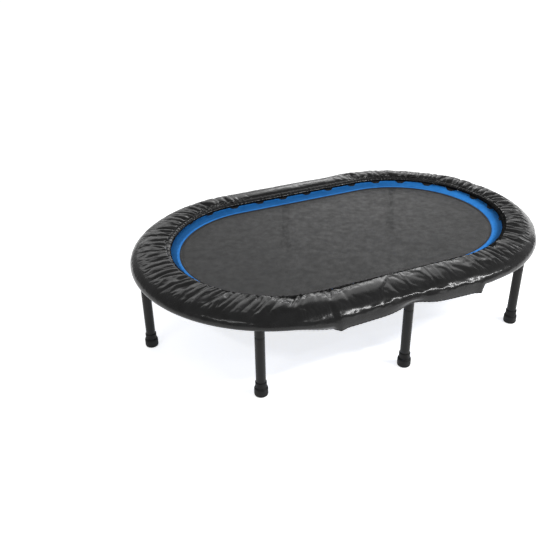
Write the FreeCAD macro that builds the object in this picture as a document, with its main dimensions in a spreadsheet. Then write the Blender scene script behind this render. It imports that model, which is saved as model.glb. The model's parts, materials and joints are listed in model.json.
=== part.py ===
import FreeCAD, Part
import math
import os
import re
import Sketcher

# Oval mini trampoline. Millimetres, +Z up. The origin is on the floor under the middle of the mat,
# +X along the long axis to the right and +Y to the back. Every ring of the object is a stadium: two
# straight sides of length 2 * straightHalf joined by half circles whose centres are at
# (+-straightHalf, 0), so one ring differs from another only in its radius.

DIMENSIONS = {
    # outline and frame tube
    "straightHalf": 205.0,
    "tubeRing": 365.0,
    "tubeHeight": 209.0,
    "tubeDiameter": 32.0,
    "tubeWall": 1.5,
    "railHalf": 165.0,
    "springHole": 6.0,
    "screwHole": 6.4,
    # sleeves and screws that join the four frame tubes
    "sleeveDiameter": 28.6,
    "sleeveWall": 1.5,
    "sleeveLength": 60.0,
    "screwOffset": 15.0,
    "screwDiameter": 6.0,
    "screwHead": 12.0,
    "screwHeadHeight": 3.4,
    "screwHeadEdge": 1.0,
    "screwLength": 44.0,
    "seatGap": 0.02,
    "nutAcross": 10.0,
    "nutHeight": 5.0,
    "nutClearance": 0.1,
    # legs
    "legAngle": 61.0,
    "legDiameter": 25.0,
    "legWall": 1.5,
    "legTop": 169.0,
    "shoulderDiameter": 24.6,
    "shoulderHeight": 2.0,
    "plugDiameter": 21.9,
    "plugLength": 16.0,
    "studDiameter": 12.0,
    "studLength": 19.0,
    "studChamfer": 1.5,
    "washerDiameter": 24.0,
    "washerBore": 12.6,
    "washerThickness": 2.0,
    # leg sockets: tube stubs welded under the frame, each with a threaded insert
    "socketBottom": 173.0,
    "saddleDiameter": 32.6,
    "insertLength": 15.0,
    "insertBore": 12.3,
    # rubber foot caps
    "capFoot": 35.0,
    "capTread": 29.0,
    "capCollar": 29.0,
    "capFootHeight": 20.0,
    "capHeight": 40.0,
    "capFloor": 6.0,
    "capBore": 25.2,
    "capEdge": 4.0,
    "capLip": 0.8,
    "capStep": 5.0,
    "capRound": 1.0,
    # mat, its border and the loops on its edge
    "matRing": 300.0,
    "matThickness": 1.2,
    "borderOuter": 303.0,
    "borderInner": 261.0,
    "borderPly": 1.2,
    "tabInner": 293.0,
    "tabOuter": 307.5,
    "tabWidth": 16.0,
    "tabPly": 1.0,
    "ringWire": 3.0,
    "ringRadius": 11.0,
    "ringBar": 304.5,
    # springs
    "arcGaps": 11.0,
    "straightGaps": 5.0,
    "springWire": 2.6,
    "hookRadius": 4.0,
    "hookGap": 50.0,
    "hookStart": 25.0,
    "coilDiameter": 11.0,
    "coilTurns": 8.0,
    "coilStart": 321.5,
    # pad
    "padInner": 289.5,
    "padOuter": 387.0,
    "coverSkin": 1.5,
    "coverTop": 237.5,
    "coverLip": 217.0,
    "skirtBottom": 186.5,
    "hemTurn": 7.0,
    "coverRound": 4.0,
    "foamInner": 296.0,
    "foamOuter": 384.5,
    "foamBottom": 226.0,
    "foamThickness": 9.8,
    "backingThickness": 0.8,
    "elasticDiameter": 3.0,
    "hemElasticRing": 383.0,
    "hemElasticHeight": 189.8,
    "innerElasticRing": 293.0,
    "innerElasticHeight": 229.0,
    # ties that hold the pad down beside the two middle legs
    "tieOffset": 26.0,
    "tieWidth": 15.0,
    "tiePly": 1.2,
    "tieGap": 0.3,
}

TOLERANCE = 0.01

doc = FreeCAD.newDocument("MiniTrampoline")
sheet = doc.addObject("Spreadsheet::Sheet", "Dims")
for row, (alias, size) in enumerate(DIMENSIONS.items(), start=1):
    sheet.set(f"A{row}", alias)
    sheet.set(f"B{row}", str(size))
    sheet.setAlias(f"B{row}", alias)
doc.recompute()

nodes = []


def bound(formula):
    """A formula over the sheet's aliases, such as 'tubeDiameter / 2', as an expression."""
    return re.sub(r"[A-Za-z]+", lambda m: f"Dims.{m[0]}" if m[0] in DIMENSIONS else m[0], formula)


def value(formula):
    """The number that a formula over the sheet's aliases gives."""
    return float(sheet.evalExpression(bound(formula)))


def bind(thing, **formulas):
    """Drives properties of an object from the sheet."""
    for name, formula in formulas.items():
        thing.setExpression(name, bound(formula))


def keep(thing, x=0.0, y=0.0, z=0.0, turn=0.0):
    """Places a finished piece and marks it as a node of the assembly."""
    turned = FreeCAD.Rotation(FreeCAD.Vector(0, 0, 1), turn)
    thing.Placement = FreeCAD.Placement(FreeCAD.Vector(x, y, z), turned)
    nodes.append(thing)
    return thing


# ---------------------------------------------------------------- sketches


def new_sketch(body, name, plane, offset="0"):
    """A sketch on one of the body's own planes, moved along its normal by offset."""
    sketch = body.newObject("Sketcher::SketchObject", name)
    origin_plane = next(f for f in body.Origin.OriginFeatures if f.Role == plane)
    sketch.AttachmentSupport = (origin_plane, [""])
    sketch.MapMode = "FlatFace"
    sketch.setExpression("AttachmentOffset.Base.z", bound(offset))
    return sketch


def fix(sketch, kind, *where, formula, name):
    """One dimension of a sketch, driven from the sheet."""
    index = sketch.addConstraint(Sketcher.Constraint(kind, *where, value(formula)))
    sketch.renameConstraint(index, name)
    sketch.setExpression(f"Constraints.{name}", bound(formula))


def add_outline(sketch, corners):
    """A closed outline of straight edges, each corner a pair of formulas."""
    points = [FreeCAD.Vector(value(across), value(up), 0) for across, up in corners]
    first = sketch.GeometryCount
    count = len(points)
    for n, point in enumerate(points):
        sketch.addGeometry(Part.LineSegment(point, points[(n + 1) % count]))
    for n, (across, up) in enumerate(corners):
        follower = first + (n + 1) % count
        sketch.addConstraint(Sketcher.Constraint("Coincident", first + n, 2, follower, 1))
        fix(sketch, "DistanceX", -1, 1, first + n, 1, formula=across, name=f"across{first + n}")
        fix(sketch, "DistanceY", -1, 1, first + n, 1, formula=up, name=f"up{first + n}")


def add_circle(sketch, diameter, name, across="0", up="0"):
    """A circle whose diameter and centre are formulas."""
    centre = FreeCAD.Vector(value(across), value(up), 0)
    upward = FreeCAD.Vector(0, 0, 1)
    index = sketch.addGeometry(Part.Circle(centre, upward, value(diameter) / 2))
    fix(sketch, "Diameter", index, formula=diameter, name=name)
    fix(sketch, "DistanceX", -1, 1, index, 3, formula=across, name=f"{name}Across")
    fix(sketch, "DistanceY", -1, 1, index, 3, formula=up, name=f"{name}Up")


def add_stadium(sketch, radius, name):
    """A stadium centred on the origin, its straight sides along X."""
    half = value("straightHalf")
    reach = value(radius)
    upward = FreeCAD.Vector(0, 0, 1)
    quarter = math.pi / 2
    right = Part.Circle(FreeCAD.Vector(half, 0, 0), upward, reach)
    left = Part.Circle(FreeCAD.Vector(-half, 0, 0), upward, reach)
    low_left = FreeCAD.Vector(-half, -reach, 0)
    low_right = FreeCAD.Vector(half, -reach, 0)
    edges = [
        Part.LineSegment(low_left, low_right),
        Part.ArcOfCircle(right, -quarter, quarter),
        Part.LineSegment(low_left * -1, low_right * -1),
        Part.ArcOfCircle(left, quarter, 3 * quarter),
    ]
    first = sketch.GeometryCount
    for edge in edges:
        sketch.addGeometry(edge)
    for n in range(4):
        follower = first + (n + 1) % 4
        sketch.addConstraint(Sketcher.Constraint("Tangent", first + n, 2, follower, 1))
    sketch.addConstraint(Sketcher.Constraint("Equal", first + 1, first + 3))
    sketch.addConstraint(Sketcher.Constraint("PointOnObject", first + 1, 3, -1))
    sketch.addConstraint(Sketcher.Constraint("Symmetric", first + 1, 3, first + 3, 3, -1, 1))
    fix(sketch, "Radius", first + 1, formula=radius, name=f"{name}Radius")
    fix(sketch, "DistanceX", -1, 1, first + 1, 3, formula="straightHalf", name=f"{name}Half")


# ---------------------------------------------------------------- features


def new_body(label):
    return doc.addObject("PartDesign::Body", label)


def pad(body, sketch, length, midplane=False):
    """Thickens a sketch along its normal."""
    feature = body.newObject("PartDesign::Pad", "Pad")
    feature.Profile = sketch
    bind(feature, Length=length)
    feature.Midplane = midplane
    sketch.Visibility = False
    return feature


def pocket(body, sketch, length, back=False, midplane=False):
    """Cuts a sketch into the body and checks that it took material away."""
    doc.recompute()
    before = body.Shape.Volume
    feature = body.newObject("PartDesign::Pocket", "Pocket")
    feature.Profile = sketch
    bind(feature, Length=length)
    feature.Midplane = midplane
    feature.Reversed = back
    doc.recompute()
    if not body.Shape.Volume < before:
        raise RuntimeError(f"{body.Label}: {sketch.Label} cuts nothing")
    return feature


def lathe(body, corners, plane="XZ_Plane", axis="V_Axis"):
    """Turns an outline about an axis of its sketch, by default the body's Z axis."""
    sketch = new_sketch(body, "Section", plane)
    add_outline(sketch, corners)
    feature = body.newObject("PartDesign::Revolution", "Turned")
    feature.Profile = sketch
    feature.ReferenceAxis = (sketch, [axis])
    feature.Angle = 360.0
    return feature


def pipe(body, kind, path, section):
    """Sweeps a section along a path of tangent edges."""
    feature = body.newObject(f"PartDesign::{kind}", kind)
    feature.Profile = section
    feature.Spine = (path, [f"Edge{n + 1}" for n in range(path.GeometryCount)])
    return feature


def polar(body, features, angle, count):
    """Repeats features about the body's own Z axis."""
    pattern = body.newObject("PartDesign::PolarPattern", "AroundTheBend")
    pattern.Originals = features
    pattern.Axis = (next(f for f in body.Origin.OriginFeatures if f.Role == "Z_Axis"), [""])
    pattern.Angle = angle
    pattern.Occurrences = count
    body.Tip = pattern
    return pattern


# ---------------------------------------------------------------- places round the stadium


def on_ring(angle, radius, side):
    """A point of a bend: angle from the long axis, side +1 at the right end and -1 at the left."""
    turn = math.radians(angle)
    x = side * (value("straightHalf") + radius * math.cos(turn))
    return x, radius * math.sin(turn)


def spring_stations():
    """Each spring's bend centre or foot point on the long axis, and the direction it points in."""
    half = value("straightHalf")
    gap = 2 * half / value("straightGaps")
    step = 180.0 / value("arcGaps")
    places = []
    for centre, start in ((half, -90.0), (-half, 90.0)):
        for n in range(int(value("arcGaps")) + 1):
            places.append((centre, start + n * step))
    for n in range(1, int(value("straightGaps"))):
        places.append((-half + n * gap, 90.0))
        places.append((-half + n * gap, -90.0))
    return places


def leg_places():
    """Eight legs, one every eighth of the way round the frame."""
    ring = value("tubeRing")
    lean = value("legAngle")
    return {
        "left": on_ring(0.0, ring, -1),
        "front_left": on_ring(-lean, ring, -1),
        "front": (0.0, -ring),
        "front_right": on_ring(-lean, ring, 1),
        "right": on_ring(0.0, ring, 1),
        "back_right": on_ring(lean, ring, 1),
        "back": (0.0, ring),
        "back_left": on_ring(lean, ring, -1),
    }


def copies(label, master, places):
    """Separate copies of one piece as a single node, each at (x, y, z, turn about Z)."""
    linked = []
    for n, (x, y, z, turn) in enumerate(places):
        link = doc.addObject("App::Link", f"{label}_{n + 1}")
        link.LinkedObject = master
        turned = FreeCAD.Rotation(FreeCAD.Vector(0, 0, 1), turn)
        link.Placement = FreeCAD.Placement(FreeCAD.Vector(x, y, z), turned)
        linked.append(link)
    group = doc.addObject("Part::Compound", label)
    group.Links = linked
    nodes.append(group)
    return group


# ---------------------------------------------------------------- frame


def frame_bow(label, side):
    """A tube bent through a half circle with a short straight at each end. Its own origin is the
    middle of the bend, at the height of the tube."""
    body = new_body(label)
    path = new_sketch(body, "BendLine", "XY_Plane")
    ring = value("tubeRing")
    stub = value("straightHalf - railHalf")
    bend = Part.Circle(FreeCAD.Vector(0, 0, 0), FreeCAD.Vector(0, 0, 1), ring)
    ends = [FreeCAD.Vector(-stub, -ring, 0), FreeCAD.Vector(0, -ring, 0)]
    far_ends = [FreeCAD.Vector(0, ring, 0), FreeCAD.Vector(-stub, ring, 0)]
    path.addGeometry(Part.LineSegment(*ends))
    path.addGeometry(Part.ArcOfCircle(bend, -math.pi / 2, math.pi / 2))
    path.addGeometry(Part.LineSegment(*far_ends))
    path.addConstraint(Sketcher.Constraint("Tangent", 0, 2, 1, 1))
    path.addConstraint(Sketcher.Constraint("Tangent", 1, 2, 2, 1))
    path.addConstraint(Sketcher.Constraint("Coincident", 1, 3, -1, 1))
    path.addConstraint(Sketcher.Constraint("Horizontal", 0))
    path.addConstraint(Sketcher.Constraint("Horizontal", 2))
    path.addConstraint(Sketcher.Constraint("Equal", 0, 2))
    fix(path, "Radius", 1, formula="tubeRing", name="bendRadius")
    fix(path, "DistanceX", 0, 1, 0, 2, formula="straightHalf - railHalf", name="stub")
    for kind, wall in (("AdditivePipe", "0"), ("SubtractivePipe", "2 * tubeWall")):
        section = new_sketch(body, "TubeSection", "YZ_Plane", "railHalf - straightHalf")
        add_circle(section, f"tubeDiameter - {wall}", "tube", across="-1 * tubeRing")
        pipe(body, kind, path, section)
        doc.recompute()
    hole = new_sketch(body, "SpringHole", "XZ_Plane", "tubeRing")
    add_circle(hole, "springHole", "hole")
    spring_hole = pocket(body, hole, "tubeDiameter")
    polar(body, [spring_hole], 180.0, int(value("arcGaps")) + 1)
    screws = new_sketch(body, "ScrewHoles", "XZ_Plane")
    add_circle(screws, "screwHole", "screw", across="screwOffset + railHalf - straightHalf")
    pocket(body, screws, "2 * tubeRing + 2 * tubeDiameter", midplane=True)
    turn = 0.0 if side > 0 else 180.0
    return keep(body, x=side * value("straightHalf"), z=value("tubeHeight"), turn=turn)


def frame_rail(label, side):
    """The straight tube between the two bows. Its own origin is its middle."""
    body = new_body(label)
    section = new_sketch(body, "TubeSection", "YZ_Plane")
    add_circle(section, "tubeDiameter", "tube")
    add_circle(section, "tubeDiameter - 2 * tubeWall", "bore")
    pad(body, section, "2 * railHalf", midplane=True)
    holes = new_sketch(body, "SpringHoles", "XZ_Plane")
    middle = value("straightGaps") / 2
    for n in range(1, int(value("straightGaps"))):
        across = f"2 * straightHalf / straightGaps * {n - middle}"
        add_circle(holes, "springHole", f"hole{n}", across)
    pocket(body, holes, "tubeDiameter")
    screws = new_sketch(body, "ScrewHoles", "XZ_Plane")
    add_circle(screws, "screwHole", "right", "railHalf - screwOffset")
    add_circle(screws, "screwHole", "left", "screwOffset - railHalf")
    pocket(body, screws, "2 * tubeDiameter", midplane=True)
    y = side * value("tubeRing")
    return keep(body, y=y, z=value("tubeHeight"), turn=0.0 if side < 0 else 180.0)


def joint_places():
    """The four places where a bow meets a rail, and the side of the frame that each is on."""
    x = value("railHalf")
    y = value("tubeRing")
    return [(x, -y), (x, y), (-x, -y), (-x, y)]


def frame_sleeves():
    """Inner tubes, half in a bow and half in a rail."""
    body = new_body("sleeve")
    section = new_sketch(body, "SleeveSection", "YZ_Plane")
    add_circle(section, "sleeveDiameter", "sleeve")
    add_circle(section, "sleeveDiameter - 2 * sleeveWall", "bore")
    pad(body, section, "sleeveLength", midplane=True)
    screws = new_sketch(body, "ScrewHoles", "XZ_Plane")
    add_circle(screws, "screwHole", "right", "screwOffset")
    add_circle(screws, "screwHole", "left", "-1 * screwOffset")
    pocket(body, screws, "2 * tubeDiameter", midplane=True)
    height = value("tubeHeight")
    return copies("frame_sleeves", body, [(x, y, height, 0.0) for x, y in joint_places()])


def screw_places():
    """Each screw's place, turned so that its head is outside the frame."""
    height = value("tubeHeight")
    offset = value("screwOffset")
    return [
        (x + shift, y, height, 0.0 if y < 0 else 180.0)
        for x, y in joint_places()
        for shift in (-offset, offset)
    ]


def frame_screws():
    """Pan-head screws across the tube, the head seated on its outer side."""
    body = new_body("screw")
    crown = "tubeDiameter / 2 + screwHeadHeight"
    seat = "tubeDiameter / 2 + seatGap"
    end = "tubeDiameter / 2 - screwLength"
    lathe(
        body,
        [
            ("0", f"-1 * ({crown})"),
            ("screwHead / 2 - screwHeadEdge", f"-1 * ({crown})"),
            ("screwHead / 2", f"-1 * ({crown} - screwHeadEdge)"),
            ("screwHead / 2", f"-1 * ({seat})"),
            ("screwDiameter / 2", f"-1 * ({seat})"),
            ("screwDiameter / 2", f"-1 * ({end})"),
            ("0", f"-1 * ({end})"),
        ],
        plane="XY_Plane",
    )
    return copies("frame_screws", body, screw_places())


def frame_nuts():
    """Hexagon nuts on the screws, against the inner side of the tube."""
    nut = new_body("nut")
    sketch = new_sketch(nut, "Hexagon", "XZ_Plane", "-1 * tubeDiameter / 2 - seatGap")
    radius = "nutAcross / 2 / cos(30 * 1 deg)"
    corners = []
    for turn in range(0, 360, 60):
        across = f"{radius} * cos({turn} * 1 deg)"
        up = f"{radius} * sin({turn} * 1 deg)"
        corners.append((across, up))
    add_outline(sketch, corners)
    pad(nut, sketch, "nutHeight").Reversed = True
    bore = new_sketch(nut, "Bore", "XZ_Plane")
    add_circle(bore, "screwDiameter + nutClearance", "bore")
    pocket(nut, bore, "4 * tubeDiameter", midplane=True)
    return copies("frame_nuts", nut, screw_places())


def socket_places():
    """Under the tube at each leg, turned so that local Y points across the tube."""
    half = value("straightHalf")
    places = []
    for x, y in leg_places().values():
        bend_centre = max(-half, min(half, x))
        across = math.degrees(math.atan2(y, x - bend_centre))
        places.append((x, y, 0.0, across - 90.0))
    return places


def leg_sockets():
    """Tube stubs, their tops notched to the round of the frame tube."""
    stub = new_body("socket")
    section = new_sketch(stub, "StubSection", "XY_Plane", "socketBottom")
    add_circle(section, "legDiameter", "stub")
    add_circle(section, "legDiameter - 2 * legWall", "bore")
    pad(stub, section, "tubeHeight - socketBottom")
    notch = new_sketch(stub, "Notch", "YZ_Plane")
    add_circle(notch, "saddleDiameter", "notch", "0", "tubeHeight")
    pocket(stub, notch, "2 * legDiameter", midplane=True)
    return copies("leg_sockets", stub, socket_places())


def socket_inserts():
    """Threaded inserts welded into the mouths of the sockets."""
    insert = new_body("insert")
    section = new_sketch(insert, "InsertSection", "XY_Plane", "socketBottom")
    add_circle(section, "plugDiameter", "insert")
    add_circle(section, "insertBore", "bore")
    pad(insert, section, "insertLength")
    return copies("socket_inserts", insert, socket_places())


# ---------------------------------------------------------------- legs


def leg_tube(name, x, y):
    body = new_body(f"leg_tube_{name}")
    section = new_sketch(body, "TubeSection", "XY_Plane", "capFloor")
    add_circle(section, "legDiameter", "tube")
    add_circle(section, "legDiameter - 2 * legWall", "bore")
    pad(body, section, "legTop - capFloor")
    return keep(body, x=x, y=y)


def leg_stud(name, x, y):
    """The plug in the top of the leg, its shoulder and the stud that screws into the frame."""
    body = new_body(f"leg_stud_{name}")
    lathe(
        body,
        [
            ("0", "legTop - plugLength"),
            ("plugDiameter / 2", "legTop - plugLength"),
            ("plugDiameter / 2", "legTop"),
            ("shoulderDiameter / 2", "legTop"),
            ("shoulderDiameter / 2", "legTop + shoulderHeight"),
            ("studDiameter / 2", "legTop + shoulderHeight"),
            ("studDiameter / 2", "legTop + shoulderHeight + studLength - studChamfer"),
            ("studDiameter / 2 - studChamfer", "legTop + shoulderHeight + studLength"),
            ("0", "legTop + shoulderHeight + studLength"),
        ],
    )
    return keep(body, x=x, y=y)


def leg_washer(name, x, y):
    body = new_body(f"leg_washer_{name}")
    section = new_sketch(body, "WasherSection", "XY_Plane", "legTop + shoulderHeight")
    add_circle(section, "washerDiameter", "washer")
    add_circle(section, "washerBore", "bore")
    pad(body, section, "washerThickness")
    return keep(body, x=x, y=y)


def foot_cap(name, x, y):
    """A rubber cap in two steps, with a narrow collar over a wide foot."""
    body = new_body(f"foot_cap_{name}")
    lathe(
        body,
        [
            ("0", "0"),
            ("capTread / 2", "0"),
            ("capFoot / 2 - capLip", "capEdge / 3"),
            ("capFoot / 2", "capEdge"),
            ("capFoot / 2", "capFootHeight"),
            ("capFoot / 2 - capRound", "capFootHeight + capStep - 2 * capRound"),
            ("capCollar / 2", "capFootHeight + capStep"),
            ("capCollar / 2", "capHeight - capRound"),
            ("capCollar / 2 - capRound", "capHeight"),
            ("capBore / 2", "capHeight"),
            ("capBore / 2", "capFloor"),
            ("0", "capFloor"),
        ],
    )
    return keep(body, x=x, y=y)


# ---------------------------------------------------------------- mat


def jump_mat():
    """The flat bed of woven cloth."""
    body = new_body("jump_mat")
    sketch = new_sketch(body, "Bed", "XY_Plane", "-1 * matThickness / 2")
    add_stadium(sketch, "matRing", "edge")
    pad(body, sketch, "matThickness")
    return keep(body, z=value("tubeHeight"))


def mat_border():
    """The band folded over the edge of the bed, one ply above it and one below."""
    body = new_body("mat_border")
    band = new_sketch(body, "Band", "XY_Plane", "-1 * matThickness / 2 - borderPly")
    add_stadium(band, "borderOuter", "outer")
    add_stadium(band, "borderInner", "inner")
    pad(body, band, "matThickness + 2 * borderPly")
    slot = new_sketch(body, "Fold", "XY_Plane", "-1 * matThickness / 2")
    add_stadium(slot, "matRing", "fold")
    pocket(body, slot, "matThickness", back=True)
    return keep(body, z=value("tubeHeight"))


def around(label, master):
    """One copy of a piece at each spring, its local X pointing outwards from the mat."""
    height = value("tubeHeight")
    places = [(x, 0.0, height, turn) for x, turn in spring_stations()]
    return copies(label, master, places)


def mat_tabs():
    """Webbing loops sewn on the edge of the border, which hold the rings."""
    body = new_body("tab")
    inside = "matThickness / 2 + borderPly"
    outside = "matThickness / 2 + borderPly + tabPly"
    loop = new_sketch(body, "Loop", "XZ_Plane")
    add_outline(
        loop,
        [
            ("tabInner", inside),
            ("tabOuter - tabPly", inside),
            ("tabOuter - tabPly", f"-1 * ({inside})"),
            ("tabInner", f"-1 * ({inside})"),
            ("tabInner", f"-1 * ({outside})"),
            ("tabOuter", f"-1 * ({outside})"),
            ("tabOuter", outside),
            ("tabInner", outside),
        ],
    )
    pad(body, loop, "tabWidth", midplane=True)
    return around("mat_tabs", body)


def mat_rings():
    """Wire D rings: a bar held by the tab and a half circle for the spring's hook."""
    bar = doc.addObject("Part::Cylinder", "RingBar")
    bind(bar, Radius="ringWire / 2", Height="2 * ringRadius + ringWire")
    lying = FreeCAD.Rotation(FreeCAD.Vector(1, 0, 0), -90)
    start = FreeCAD.Vector(value("ringBar"), -value("ringRadius + ringWire / 2"), 0)
    bar.Placement = FreeCAD.Placement(start, lying)
    bow = doc.addObject("Part::Torus", "RingBow")
    bind(bow, Radius1="ringRadius", Radius2="ringWire / 2")
    bow.Angle3 = 180.0
    outwards = FreeCAD.Rotation(FreeCAD.Vector(0, 0, 1), -90)
    bow.Placement = FreeCAD.Placement(FreeCAD.Vector(value("ringBar"), 0, 0), outwards)
    ring = doc.addObject("Part::MultiFuse", "Ring")
    ring.Shapes = [bar, bow]
    doc.recompute()
    return around("mat_rings", ring)


def springs():
    """Closely wound springs. One hook is a loop through the ring, the other goes through the
    wall of the tube and turns up inside it. The turns are drawn as ribs."""
    body = new_body("coil")
    crest = "coilDiameter / 2"
    root = "coilDiameter / 2 - springWire / 3"
    inner = "coilDiameter / 2 - springWire"
    corners = [("coilStart", inner), ("coilStart", root)]
    for n in range(int(value("coilTurns"))):
        corners.append((f"coilStart + springWire * {n + 0.5}", crest))
        corners.append((f"coilStart + springWire * {n + 1}", root))
    corners.append(("coilStart + springWire * coilTurns", inner))
    lathe(body, corners, plane="XY_Plane", axis="H_Axis")
    spring = doc.addObject("Part::MultiFuse", "Spring")
    spring.Shapes = [body] + spring_hooks()
    doc.recompute()
    return around("springs", spring)


def spring_hooks():
    """The end plates and wire hooks of one spring, on its axis along X."""
    coil_end = "coilStart + springWire * coilTurns"
    loop_centre = "ringBar + ringRadius"
    tube_hook = "tubeRing - tubeDiameter / 2 + tubeWall + hookRadius"
    along = FreeCAD.Rotation(FreeCAD.Vector(0, 1, 0), 90)
    upright = FreeCAD.Rotation(FreeCAD.Vector(1, 0, 0), 90)
    pieces = []
    rods = (
        ("StartPlate", "coilDiameter / 2 - springWire / 2", "coilStart", "coilStart + springWire"),
        ("EndPlate", "coilDiameter / 2 - springWire / 2", f"{coil_end} - springWire", coil_end),
        ("RingArm", "springWire / 2", f"{loop_centre} + hookRadius", "coilStart + springWire / 2"),
        ("TubeArm", "springWire / 2", f"{coil_end} - springWire / 2", tube_hook),
    )
    for name, radius, start, end in rods:
        rod = doc.addObject("Part::Cylinder", name)
        bind(rod, Radius=radius, Height=f"{end} - ({start})")
        rod.Placement = FreeCAD.Placement(FreeCAD.Vector(value(start), 0, 0), along)
        pieces.append(rod)
    loop = doc.addObject("Part::Torus", "RingHook")
    bind(loop, Radius1="hookRadius", Radius2="springWire / 2", Angle3="360 - hookGap")
    from_end = FreeCAD.Rotation(FreeCAD.Vector(0, 0, 1), -1 * value("hookStart"))
    centre = FreeCAD.Vector(value(loop_centre), 0, 0)
    loop.Placement = FreeCAD.Placement(centre, upright.multiply(from_end))
    pieces.append(loop)
    bend = doc.addObject("Part::Torus", "TubeHook")
    bind(bend, Radius1="hookRadius", Radius2="springWire / 2")
    bend.Angle3 = 90.0
    bent_up = FreeCAD.Rotation(FreeCAD.Vector(0, 0, 1), -90)
    centre = FreeCAD.Vector(value(tube_hook), 0, value("hookRadius"))
    bend.Placement = FreeCAD.Placement(centre, upright.multiply(bent_up))
    pieces.append(bend)
    return pieces


# ---------------------------------------------------------------- pad


def flat_ring(label, outer, inner, bottom, thickness):
    """A flat stadium ring. All four sizes are formulas."""
    body = new_body(label)
    sketch = new_sketch(body, "Ring", "XY_Plane", bottom)
    add_stadium(sketch, outer, "outer")
    add_stadium(sketch, inner, "inner")
    pad(body, sketch, thickness)
    return keep(body)


def is_outer_rim(edge):
    """Whether an edge of the cover's block is on its top face, on the outer side."""
    middle = edge.valueAt((edge.FirstParameter + edge.LastParameter) / 2)
    reach = max(abs(middle.x) - value("straightHalf"), abs(middle.y))
    is_outer = abs(reach - value("padOuter")) < TOLERANCE
    return is_outer and abs(middle.z - value("coverTop")) < TOLERANCE


def pad_cover():
    """The vinyl cover: a skin over the foam, a lip at the mat and a skirt outside the tube whose
    hem turns in under it."""
    body = new_body("pad_cover")
    top = new_sketch(body, "Top", "XY_Plane", "coverLip")
    add_stadium(top, "padOuter", "outer")
    add_stadium(top, "padInner", "inner")
    pad(body, top, "coverTop - coverLip")
    skirt = new_sketch(body, "Skirt", "XY_Plane", "skirtBottom")
    add_stadium(skirt, "padOuter", "outer")
    add_stadium(skirt, "padOuter - hemTurn", "inner")
    block = pad(body, skirt, "coverLip - skirtBottom")
    doc.recompute()
    rims = [
        f"Edge{n}"
        for n, edge in enumerate(block.Shape.Edges, start=1)
        if is_outer_rim(edge)
    ]
    rounded = body.newObject("PartDesign::Fillet", "OuterRound")
    rounded.Base = (block, rims)
    bind(rounded, Radius="coverRound")
    inside = new_sketch(body, "Inside", "XY_Plane", "skirtBottom + coverSkin")
    add_stadium(inside, "padOuter - coverSkin", "outer")
    add_stadium(inside, "padInner + coverSkin", "inner")
    pocket(body, inside, "coverTop - skirtBottom - 2 * coverSkin", back=True)
    return keep(body)


def elastic_cord(label, ring, height):
    """A round cord that runs inside a hem, all the way round."""
    body = new_body(label)
    path = new_sketch(body, "CordLine", "XY_Plane", height)
    add_stadium(path, ring, "cord")
    section = new_sketch(body, "CordSection", "YZ_Plane", "-1 * straightHalf")
    add_circle(section, "elasticDiameter", "cord", f"-1 * {ring}", height)
    pipe(body, "AdditivePipe", path, section)
    return keep(body)


def pad_ties():
    """Straps under the tube beside the two middle legs, which hold the pad down."""
    body = new_body("tie")
    loop = new_sketch(body, "Loop", "YZ_Plane")
    inner = "tubeDiameter / 2 + tieGap"
    outer = "tubeDiameter / 2 + tieGap + tiePly"
    top = "foamBottom - backingThickness - tubeHeight"
    add_circle(loop, f"2 * ({outer})", "outer")
    add_circle(loop, f"2 * ({inner})", "inner")
    pad(body, loop, "tieWidth", midplane=True)
    doc.recompute()
    cut = new_sketch(body, "OpenTop", "YZ_Plane")
    low = f"-1 * ({outer}) - tiePly"
    high = f"{outer} + tiePly"
    add_outline(cut, [(low, "0"), (high, "0"), (high, high), (low, high)])
    pocket(body, cut, "2 * tieWidth", midplane=True)
    sides = new_sketch(body, "Sides", "YZ_Plane")
    for near, far in ((inner, outer), (f"-1 * ({outer})", f"-1 * ({inner})")):
        add_outline(sides, [(near, "0"), (far, "0"), (far, top), (near, top)])
    pad(body, sides, "tieWidth", midplane=True)
    height = value("tubeHeight")
    ring = value("tubeRing")
    offset = value("tieOffset")
    places = [(x, y, height, 0.0) for x in (-offset, offset) for y in (-ring, ring)]
    return copies("pad_ties", body, places)


# ---------------------------------------------------------------- assembly

frame_bow("frame_bow_left", -1)
frame_bow("frame_bow_right", 1)
frame_rail("frame_rail_front", -1)
frame_rail("frame_rail_back", 1)
frame_sleeves()
frame_screws()
frame_nuts()
leg_sockets()
socket_inserts()
for place, (leg_x, leg_y) in leg_places().items():
    leg_tube(place, leg_x, leg_y)
    leg_stud(place, leg_x, leg_y)
    leg_washer(place, leg_x, leg_y)
    foot_cap(place, leg_x, leg_y)
jump_mat()
mat_border()
mat_tabs()
mat_rings()
springs()
flat_ring("pad_foam", "foamOuter", "foamInner", "foamBottom", "foamThickness")
flat_ring(
    "pad_backing", "foamOuter", "foamInner", "foamBottom - backingThickness", "backingThickness"
)
pad_cover()
elastic_cord("pad_elastic_hem", "hemElasticRing", "hemElasticHeight")
elastic_cord("pad_elastic_inner", "innerElasticRing", "innerElasticHeight")
pad_ties()

doc.recompute()
for thing in doc.Objects:
    if {"Invalid", "Error"} & set(thing.State):
        raise RuntimeError(f"{thing.Label} failed: {thing.State}")
for node in nodes:
    if node.Shape.isNull() or not node.Shape.isValid():
        raise RuntimeError(f"{node.Label} has no valid shape")

os.makedirs("parts", exist_ok=True)
for node in nodes:
    node.Shape.exportStep(f"parts/{node.Label}.step")
    solids = len(node.Shape.Solids)
    print(f"{node.Label}: {solids} solids, {node.Shape.Volume / 1000:.1f} cm3")
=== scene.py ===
import json
import math
import random

import bpy
import numpy as np
from mathutils import Matrix, Vector


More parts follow.
